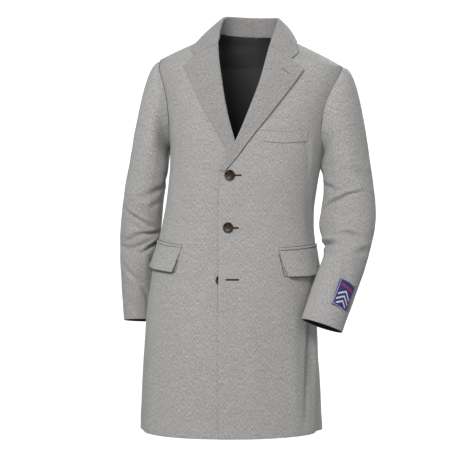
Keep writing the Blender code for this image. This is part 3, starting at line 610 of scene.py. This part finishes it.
# Distances from the body's middle to the roll line and to the lapel's outer edge at each height
LAPEL_ROLL = {-0.35: -0.026, -0.26: 0.0035, -0.16: 0.038, -0.06: 0.0605, 0.0: 0.068}
LAPEL_OUTER = {-0.35: -0.021, -0.31: 0.001, -0.235: 0.046, -0.158: 0.096, -0.089: 0.137, -0.02: 0.178}


def springing(side):
    """Lifts a lapel towards its outer edge, on top of what moves the chest beneath."""

    def move(points):
        _, z, out = round_body(points)
        across = side * (points[:, 0] - at_height(BODY_MIDDLE, z))
        inner, outer = at_height(LAPEL_ROLL, z), at_height(LAPEL_OUTER, z)
        share = np.clip((across - inner) / (outer - inner), 0, 1.1)
        lift = LAPEL_LIFT[side] * share**1.3 * soft_step(-z, 0.05, 0.09)
        return crumple_body(points) + out * lift[:, None]

    return move


def cut_of_lapel(points):
    x, z = points[:, 0], points[:, 2]
    return np.stack([x + LAPEL_SLANT * z, z - LAPEL_SLANT * x], axis=1)


def cut_of_collar(points):
    turn = np.arctan2(points[:, 0], -points[:, 1])
    reach = np.hypot(points[:, 0], points[:, 1])
    return np.stack([turn * COLLAR_RADIUS, points[:, 2] - reach], axis=1)


for side, word in ((1, "left"), (-1, "right")):
    lapel = smooth_copy(f"lapel_{word}", f"{word}_lapel", 3)
    # The lapel takes the darker wool with painted shade.
    finish_cloth(lapel, springing(side), cut_of_lapel, growth=GORGE_GROWTH, wool=SHADED_WOOL)
    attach(lapel, "root")
    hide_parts(f"lapel_{word}")
collar = smooth_copy("collar", "folded_collar", 2)
# The collar takes the darker wool with painted shade too.
finish_cloth(collar, crumple_body, cut_of_collar, growth=GORGE_GROWTH, wool=SHADED_WOOL)
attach(collar, "root")
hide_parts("collar")

# Pockets
# Two slanting jetted pockets with flaps that stand a little off the hips, and a welt pocket on the left
# chest. Dark lines of painted shade lie along each of their seams and in the gap under each raised edge.

WELT_SAG = 0.005
POCKETS = [
    ("left_flap", "pocket_flap_left", (0.155, 0.056), 0.0083),
    ("right_flap", "pocket_flap_right", (0.155, 0.056), 0.0083),
    ("left_jet", "pocket_jet_left", (0.155, 0.010), 0.0012),
    ("right_jet", "pocket_jet_right", (0.155, 0.010), 0.0012),
    ("chest_welt", "breast_welt", (0.100, 0.028), 0.0026),
]
FLAP_TOP_Z = -0.500
FLAP_LENGTH = 0.055
FLAP_LIFT = 0.0050
JET_STEP = 0.0012
LEFT_FLAP_DROP = 0.0055  # of its side end, which hangs lower than the other flap's


def hang_flap(points):
    """Swings a flap out from the hip towards its lower edge, on top of what moves the cloth beneath."""
    turn, z, out = round_body(points)
    share = np.clip((FLAP_TOP_Z - z) / FLAP_LENGTH, 0, 1.2)
    fall = np.array([[0, 0, -LEFT_FLAP_DROP]]) * (share * soft_step(turn, 0.5, 1.3))[:, None]
    swing = out * (FLAP_LIFT * share**1.5 - JET_STEP * np.exp(-9 * share))[:, None]
    return crumple_body(points) + swing + fall


for name, node, flat, area in POCKETS:
    move = hang_flap if "flap" in name else crumple_body
    pocket = finish_cloth(smooth_copy(node, name, 3), move, cut_of_body)
    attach(pocket, "root")
    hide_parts(node)
    front = "right_front" if "right" in name else "left_front"


def thread_finish(name, colour):
    """A twisted thread, a little darker between its plies."""
    thread = Finish(name, Roughness=0.8)
    twist = thread.grain(thread.place("Object"), 2600)
    thread.colour(thread.mix(twist, [0.6 * value for value in colour[:3]] + [1], colour))
    return thread.material


# Dark lines of painted shade, laid where shade falls along seams and in the gaps under raised edges.
SHADE_LINE_FINISH = thread_finish("painted shade line", (0.035, 0.034, 0.033, 1))
SHADE_LINE_RADIUS = 0.00055


def surface_of(*pieces):
    """The pieces' faces as one surface that a line can be laid on."""
    verts, faces = [], []
    for piece in pieces:
        piece.data.calc_loop_triangles()
        faces += [[corner + len(verts) for corner in tri.vertices] for tri in piece.data.loop_triangles]
        verts += [vert.co for vert in piece.data.vertices]
    return BVHTree.FromPolygons(verts, faces)


def lay_shade_line(name, cloth, places, lift=0.0, radius=SHADE_LINE_RADIUS):
    """A dark line of painted shade where a jet, a welt or a raised edge meets the cloth, along (turn, z)
    places on it.
    """
    line = bpy.data.curves.new(name, "CURVE")
    line.dimensions = "3D"
    line.bevel_depth = radius
    line.bevel_resolution = 1
    line.use_fill_caps = True
    course = line.splines.new("POLY")
    course.points.add(len(places) - 1)
    for point, (turn, z) in zip(course.points, places):
        way = Vector((math.sin(turn), -math.cos(turn), 0))
        middle = Vector((float(at_height(BODY_MIDDLE, z)), 0, z + lift))
        hit, _, _, _ = cloth.ray_cast(middle + way * 0.4, -way)
        point.co = (*(hit - way * 0.3 * radius), 1)
    drawn = bpy.data.objects.new(name, line)
    bpy.context.scene.collection.objects.link(drawn)
    mesh = bpy.data.meshes.new_from_object(drawn.evaluated_get(bpy.context.evaluated_depsgraph_get()))
    bpy.data.objects.remove(drawn)
    mesh.materials.clear()
    mesh.materials.append(SHADE_LINE_FINISH)
    mesh.shade_smooth()
    piece = bpy.data.objects.new(name, mesh)
    bpy.context.scene.collection.objects.link(piece)
    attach(piece, "root")


def ends_of(node):
    """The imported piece's corners as (turn, z): front end low and high, then side end low and high."""
    turn, z, _ = round_body(points_of(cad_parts[node].data))
    order = np.argsort(np.abs(turn))
    first, last = order[: len(order) // 12], order[-(len(order) // 12) :]
    return [(turn[end].mean(), pick(z[end])) for end in (first, last) for pick in (min, max)]


def between(start, end, count=24, sag=0.0):
    """Places along a line from one (turn, z) to another that sags in its middle."""
    places = []
    for k in range(count + 1):
        share = k / count
        turn = start[0] + (end[0] - start[0]) * share
        z = start[1] + (end[1] - start[1]) * share - sag * math.sin(math.pi * share)
        places.append((turn, z))
    return places


# Painted shade along the pockets' upper and lower seams and along the welt's top edge.
for word in ("left", "right"):
    cloth = surface_of(*(bpy.data.objects[f"{word}_{name}"] for name in ("front", "back", "flap", "jet")))
    front_low, front_high, side_low, side_high = ends_of(f"pocket_jet_{word}")
    lay_shade_line(f"{word}_pocket_upper_shade_line", cloth, between(front_high, side_high))
    lay_shade_line(f"{word}_pocket_lower_shade_line", cloth, between(front_low, side_low))
cloth = surface_of(bpy.data.objects["left_front"])
front_low, front_high, side_low, side_high = ends_of("breast_welt")
welt_top = between(front_high, side_high, sag=WELT_SAG)
lay_shade_line("welt_shade_line", cloth, welt_top, lift=0.0003, radius=0.0006)


def edge_of(piece, side, sweep, far, count=48, window=0.0014):
    """The (turn, z) places along an edge of a piece: the farthest point at each step of a sweep across."""
    points = points_of(piece.data)
    turn, z, _ = round_body(points)
    steps, reach = sweep(turn * side, z), far(turn * side, z)
    places = []
    for step in np.linspace(steps.min() + window, steps.max() - window, count):
        near = np.flatnonzero(np.abs(steps - step) < window)
        if len(near):
            index = near[reach[near].argmax()]
            places.append((float(turn[index]), float(z[index])))
    return places


# Dark lines of painted shade in the gaps under the flaps' front and lower edges and the lapels' outer ones
FLAP_SHADE_SHIFT = {1: 0.0, -1: -0.009}  # in radians, so that the line lies just inside the flap's edge
FLAP_SHADE_RADIUS = 0.0009
LAPEL_TIP_Z = {1: -0.105, -1: -0.135}  # the height above which no line lies under a lapel
LAPEL_SHADE_RADIUS = {1: 0.0014, -1: 0.0007}
for side, word in ((1, "left"), (-1, "right")):
    front = surface_of(*(bpy.data.objects[f"{word}_{name}"] for name in ("front", "back")))
    flap = bpy.data.objects[f"{word}_flap"]
    flap_edge = edge_of(flap, side, lambda turn, z: turn * BODY_RADIUS, lambda turn, z: -z)
    under_flap = [(turn + FLAP_SHADE_SHIFT[side], z) for turn, z in flap_edge]
    lay_shade_line(f"{word}_flap_shade_line", front, under_flap, lift=-0.0006, radius=FLAP_SHADE_RADIUS)
    lapel = bpy.data.objects[f"{word}_lapel"]
    lapel_edge = edge_of(lapel, side, lambda turn, z: z, lambda turn, z: turn)
    under_lapel = [(turn, z) for turn, z in lapel_edge if z < LAPEL_TIP_Z[side]]
    lay_shade_line(f"{word}_lapel_shade_line", front, under_lapel, radius=LAPEL_SHADE_RADIUS[side])

# Buttons
# Three on the front and three on each cuff, turned from dark horn with a rounded rim and a dished face,
# and sewn on with brown thread through four holes.


def horn_finish():
    """Near-black horn with brown streaks."""
    horn = Finish("dark horn", Roughness=0.36, Specular_IOR_Level=0.22)
    streaks = horn.grain(horn.place("Object"), 240, stretch=(1, 1, 3), detail=4.0)
    brown = (streaks - 0.42) * 3.0
    brown = brown.math("MAXIMUM", brown, 0.0)
    horn.colour(horn.mix(brown, (0.006, 0.0035, 0.002, 1), (0.058, 0.028, 0.010, 1)))
    return horn.material


HORN = horn_finish()
BROWN_THREAD = thread_finish("brown thread", (0.030, 0.020, 0.014, 1))


def own_frame(node, outward):
    """Where a packed button's back lies, with the way it faces as Z, and its radius and depth."""
    points = points_of(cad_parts[node].data)
    middle = points.mean(axis=0)
    _, _, ways = np.linalg.svd(points - middle, full_matrices=False)
    face = Vector(ways[2])
    if face.dot(outward) < 0:
        face = -face
    heights = (points - middle) @ np.array(face)
    back = Vector(middle) + face * float(heights.min())
    radius = float(np.linalg.norm(points - middle - heights[:, None] * np.array(face), axis=1).max())
    place = Matrix.Translation(back) @ face.to_track_quat("Z", "Y").to_matrix().to_4x4()
    return place, radius, float(np.ptp(heights))


# Half a button's section, and its holes and thread, as shares of its radius and depth
BUTTON_OUTLINE = [
    (0, 0),
    (0.86, 0),
    (0.95, 0.14),
    (1, 0.45),
    (0.97, 0.80),
    (0.90, 0.98),
    (0.82, 0.96),
    (0.74, 0.80),
    (0.55, 0.66),
    (0, 0.62),
]
HOLE_REACH = 0.23
HOLE_RADIUS = 0.085
THREAD_RADIUS = 0.035
THREAD_APART = 0.03
THREAD_HEIGHT = 0.66


def button(name, node, outward, steps):
    """A turned disc with four holes bored through its dished middle, and the thread that crosses them."""
    place, radius, depth = own_frame(node, outward)
    bm = bmesh.new()
    verts = [bm.verts.new((r * radius, 0, z * depth)) for r, z in BUTTON_OUTLINE]
    edges = [bm.edges.new(pair) for pair in zip(verts, verts[1:])]
    bmesh.ops.spin(
        bm,
        geom=verts + edges,
        cent=(0, 0, 0),
        axis=(0, 0, 1),
        angle=2 * math.pi,
        steps=steps,
        use_merge=True,
    )
    bmesh.ops.remove_doubles(bm, verts=bm.verts, dist=1e-6)
    bmesh.ops.recalc_face_normals(bm, faces=bm.faces)
    disc = bpy.data.meshes.new(name)
    bm.to_mesh(disc)
    bm.free()
    piece = bpy.data.objects.new(name, disc)
    bpy.context.scene.collection.objects.link(piece)
    bm = bmesh.new()
    corners = []
    for k in range(4):
        turn = math.pi / 4 + k * math.pi / 2
        corners.append(Vector((math.cos(turn), math.sin(turn), 0)) * HOLE_REACH * radius)
        bmesh.ops.create_cone(
            bm,
            cap_ends=True,
            segments=12,
            radius1=HOLE_RADIUS * radius,
            radius2=HOLE_RADIUS * radius,
            depth=3 * depth,
            matrix=Matrix.Translation(corners[-1] + Vector((0, 0, depth / 2))),
        )
    drill = bpy.data.meshes.new("drill")
    bm.to_mesh(drill)
    bm.free()
    cutter = bpy.data.objects.new("drill", drill)
    bpy.context.scene.collection.objects.link(cutter)
    bore = piece.modifiers.new("holes", "BOOLEAN")
    bore.object = cutter
    bored = bpy.data.meshes.new_from_object(piece.evaluated_get(bpy.context.evaluated_depsgraph_get()))
    piece.modifiers.clear()
    bpy.data.objects.remove(cutter)
    bm = bmesh.new()
    bm.from_mesh(bored)
    for a, b in ((0, 1), (3, 2)):
        for apart in (-THREAD_APART, THREAD_APART):
            start, end = corners[a], corners[b]
            beside = Vector((apart * radius, apart * radius, THREAD_HEIGHT * depth))
            turn = (end - start).to_track_quat("Z", "Y").to_matrix().to_4x4()
            made = bmesh.ops.create_cone(
                bm,
                cap_ends=True,
                segments=6,
                radius1=THREAD_RADIUS * radius,
                radius2=THREAD_RADIUS * radius,
                depth=(end - start).length,
                matrix=Matrix.Translation((start + end) / 2 + beside) @ turn,
            )
            for face in {face for vert in made["verts"] for face in vert.link_faces}:
                face.material_index = 1
    bmesh.ops.transform(bm, matrix=place, verts=bm.verts)
    bm.to_mesh(bored)
    bm.free()
    piece.data = bored
    bored.materials.clear()
    bored.materials.append(HORN)
    bored.materials.append(BROWN_THREAD)
    bored.shade_smooth()
    bored.set_sharp_from_angle(angle=math.radians(40))
    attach(piece, "root")
    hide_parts(node)


for k in (1, 2, 3):
    button(f"horn_button_{k}", f"front_button_{k}", Vector((0, -1, 0)), 40)
    button(f"left_cuff_horn_{k}", f"cuff_button_left_{k}", Vector((0.4, 1, 0)), 24)
    button(f"right_cuff_horn_{k}", f"cuff_button_right_{k}", Vector((-0.4, 1, 0)), 24)

# Buttonholes
# Each is a slit edged with a row of short stitches, with an eyelet at the end by the front edge. The
# three on the left front are worked in dark thread, the one on the lapel in grey.

GREY_THREAD = thread_finish("grey thread", (0.27, 0.26, 0.25, 1))
# The slit's face is near-black: painted shade in the cut, not the colour of the cloth beneath.
SLIT_SHADE = Finish("slit", Base_Color=(0.010, 0.009, 0.008, 1), Roughness=0.9).material
STITCH_PITCH = 0.0009
STITCH_RADIUS = 0.00045
STITCH_LENGTH = 0.0018
STITCH_OUTER = 0.001  # how far a stitch reaches out from the slit's outline, and in from it
STITCH_INNER = 0.0006


def buttonhole(name, piece, start, end, thread, half_width=0.0011):
    """Stitches round a slit from start to end, each (x, z), laid on the front of a piece, with painted shade
    in the slit.
    """
    surface = surface_of(piece)
    start, end = Vector((start[0], 0, start[1])), Vector((end[0], 0, end[1]))
    along = (end - start).normalized()
    across = Vector((-along.z, 0, along.x))
    length = (end - start).length

    def on_cloth(point, lift):
        hit, _, _, _ = surface.ray_cast(Vector((point.x, -0.4, point.z)), Vector((0, 1, 0)))
        return hit - Vector((0, lift, 0))

    bm = bmesh.new()
    outline = []
    steps = int(length / STITCH_PITCH)
    for k in range(steps + 1):
        outline.append((start + along * length * k / steps + across * half_width, across))
    for k in range(1, 6):
        turn = math.pi * k / 6
        way = across * math.cos(turn) + along * math.sin(turn)
        outline.append((end + way * half_width, way))
    for k in range(steps + 1):
        outline.append((end - along * length * k / steps - across * half_width, -across))
    for k in range(1, 10):
        turn = math.pi * k / 10
        way = -across * math.cos(turn) - along * math.sin(turn)
        outline.append((start + way * half_width * (1 + 0.5 * math.sin(turn)), way))
    for point, way in outline:
        middle = on_cloth(point, 0.0002)
        tip = on_cloth(point + way * STITCH_OUTER, 0.0002)
        root = on_cloth(point - way * STITCH_INNER, 0.0005)
        bmesh.ops.create_cone(
            bm,
            cap_ends=True,
            segments=5,
            radius1=STITCH_RADIUS,
            radius2=STITCH_RADIUS,
            depth=STITCH_LENGTH,
            matrix=Matrix.Translation(middle) @ (tip - root).to_track_quat("Z", "Y").to_matrix().to_4x4(),
        )
    # A near-black face of painted shade fills the slit.
    slit = []
    for point, way in outline:
        slit.append(bm.verts.new(on_cloth(point - way * 0.0005, 0.0003)))
    face = bm.faces.new(slit)
    face.material_index = 1
    bmesh.ops.triangulate(bm, faces=[face])
    bmesh.ops.recalc_face_normals(bm, faces=[face for face in bm.faces if face.material_index == 0])
    for face in bm.faces:
        if face.material_index == 1 and face.normal.y > 0:
            face.normal_flip()
    mesh = bpy.data.meshes.new(name)
    bm.to_mesh(mesh)
    bm.free()
    mesh.materials.append(thread)
    mesh.materials.append(SLIT_SHADE)
    mesh.shade_smooth()
    made = bpy.data.objects.new(name, mesh)
    bpy.context.scene.collection.objects.link(made)
    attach(made, "root")


left_front = bpy.data.objects["left_front"]
# The x of each slit's two ends, and its height
HOLES = [(-0.0280, -0.0055, -0.3370), (-0.0345, -0.0125, -0.4560), (-0.0375, -0.0112, -0.5730)]
for k, (x_0, x_1, z) in enumerate(HOLES):
    buttonhole(f"buttonhole_{k + 1}", left_front, (x_0, z), (x_1, z), BROWN_THREAD)
left_lapel = bpy.data.objects["left_lapel"]
LAPEL_HOLE_ENDS = ((0.1010, -0.1060), (0.0845, -0.0935))
buttonhole("lapel_buttonhole", left_lapel, *LAPEL_HOLE_ENDS, GREY_THREAD, 0.0007)

# Sleeve label
# A navy woven label, tacked to the left sleeve above the cuff. It carries a pale border, a red bar and a
# band of chevrons.

LABEL_WIDTH = 0.044
LABEL_LENGTH = 0.062
LABEL_RIB_PITCH = 0.0006
BORDER = (0.0026, 0.0034)  # how far in from the edge the pale line starts and ends
MARGIN = 0.0070
BAR = (0.0440, 0.0490)
CHEVRONS = (0.012, 0.0420)  # the heights they start at in the middle and end at
CHEVRON_SLOPE = 0.8
CHEVRON_PITCH = 0.0105
CHEVRON_SHARE = (0.25, 0.62)  # of that pitch, which is pale


def label_finish():
    """Navy satin with a pale line round it, a red bar across and three pale chevrons below."""
    cloth = Finish("woven label", Roughness=0.5)
    across, up, _ = cloth.split(cloth.place("UV"))
    side = across.math("MINIMUM", across, LABEL_WIDTH - across)
    end = up.math("MINIMUM", up, LABEL_LENGTH - up)
    edge = side.math("MINIMUM", side, end)
    line = (edge > BORDER[0]) * (edge < BORDER[1])
    inside = edge > MARGIN
    bar = (up > BAR[0]) * (up < BAR[1]) * inside
    middle = (across - LABEL_WIDTH / 2).math("ABSOLUTE", across - LABEL_WIDTH / 2)
    rise = up + middle * CHEVRON_SLOPE - CHEVRONS[0]
    steps = rise.math("FRACT", rise / CHEVRON_PITCH)
    band = (rise > 0.0) * (rise < 3 * CHEVRON_PITCH) * inside * (up < CHEVRONS[1])
    chevrons = (steps > CHEVRON_SHARE[0]) * (steps < CHEVRON_SHARE[1]) * band
    navy = (0.016, 0.020, 0.150, 1)
    woven = cloth.mix(line + chevrons, navy, (0.62, 0.61, 0.58, 1))
    cloth.colour(cloth.mix(bar, woven, (0.30, 0.025, 0.045, 1)))
    ribs = up.math("SINE", up * (2 * math.pi / LABEL_RIB_PITCH))
    cloth.relief(ribs, 0.00012)
    return cloth.material


def cut_of_label(points):
    """Across the label from its back edge and up it from its lower edge."""
    turn, down, _ = round_arm(points, smooth_line(LEFT_ARM, 8), 1)
    across, up = -turn, -down
    across = LABEL_WIDTH * (across - across.min()) / np.ptp(across)
    up = LABEL_LENGTH * (up - up.min()) / np.ptp(up)
    return np.stack([across, up], axis=1)


label = smooth_copy("sleeve_label", "navy_label", 2)
finish_cloth(label, np.zeros_like, cut_of_label)
label.data.materials[0] = label_finish()
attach(label, "root")
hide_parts("sleeve_label")

# Studio
# A white bowl of floor and wall, which sheds no light on the cloth. A soft light stands ahead at the upper
# left, a weaker one to the right and one behind, in even light from all round.

FLOOR_Z = -2.3
SWEEP_RADIUS = 7.0
SWEEP_BEND = 1.5
SWEEP_TOP = 6.0
LIT_MIDDLE = Vector((0, 0, -0.45))
bm = bmesh.new()
profile = [Vector((0.001, 0, FLOOR_Z))]
for k in range(9):
    turn = math.pi / 2 * k / 8
    reach = SWEEP_RADIUS - SWEEP_BEND * (1 - math.sin(turn))
    profile.append(Vector((reach, 0, FLOOR_Z + SWEEP_BEND * (1 - math.cos(turn)))))
profile.append(Vector((SWEEP_RADIUS, 0, SWEEP_TOP)))
verts = [bm.verts.new(point) for point in profile]
edges = [bm.edges.new(pair) for pair in zip(verts, verts[1:])]
bmesh.ops.spin(
    bm,
    geom=verts + edges,
    cent=(0, 0, 0),
    axis=(0, 0, 1),
    angle=2 * math.pi,
    steps=64,
    use_merge=True,
)
sweep_mesh = bpy.data.meshes.new("studio_sweep")
bm.to_mesh(sweep_mesh)
bm.free()
sweep_mesh.shade_smooth()
paper = Finish(
    "white paper",
    Base_Color=(0.5, 0.5, 0.5, 1),
    Roughness=0.9,
    Emission_Color=(1, 1, 1, 1),
    Emission_Strength=0.95,
)
sweep_mesh.materials.append(paper.material)
sweep = bpy.data.objects.new("studio_sweep", sweep_mesh)
bpy.context.scene.collection.objects.link(sweep)
sweep.visible_diffuse = sweep.visible_glossy = sweep.visible_shadow = False

world = bpy.data.worlds.new("studio")
world.use_nodes = True
world.node_tree.nodes["Background"].inputs["Color"].default_value = (1, 1, 1, 1)
world.node_tree.nodes["Background"].inputs["Strength"].default_value = 0.375
bpy.context.scene.world = world
bpy.context.scene.view_settings.view_transform = "Standard"


def soft_light(name, place, width, height, watts):
    light = bpy.data.lights.new(name, "AREA")
    light.shape = "RECTANGLE"
    light.size = width
    light.size_y = height
    light.energy = watts
    made = bpy.data.objects.new(name, light)
    made.location = place
    made.rotation_euler = (Vector(place) - LIT_MIDDLE).to_track_quat("Z", "Y").to_euler()
    made.visible_camera = False
    bpy.context.scene.collection.objects.link(made)


soft_light("key", (-0.55, -3.0, 0.85), 1.1, 0.35, 93)
soft_light("fill", (1.25, -3.0, 0.3), 1.0, 0.8, 21)
soft_light("back", (0.9, 2.6, 1.5), 1.8, 0.8, 82)

# Camera
# A long lens at waist height, well back and a little to the wearer's left of straight ahead.

TURN = math.radians(7)
CAMERA_DISTANCE = 3.4
CAMERA_ASIDE = -0.047
CAMERA_Z = -0.4606
rightward = Vector((math.cos(TURN), math.sin(TURN), 0))
backward = Vector((math.sin(TURN), -math.cos(TURN), 0))
lens = bpy.data.cameras.new("camera")
lens.lens = 113.2
lens.sensor_width = 36
camera = bpy.data.objects.new("camera", lens)
camera.location = rightward * CAMERA_ASIDE + Vector((0, 0, CAMERA_Z)) + backward * CAMERA_DISTANCE
camera.rotation_euler = backward.to_track_quat("Z", "Y").to_euler()
bpy.context.scene.collection.objects.link(camera)
bpy.context.scene.camera = camera
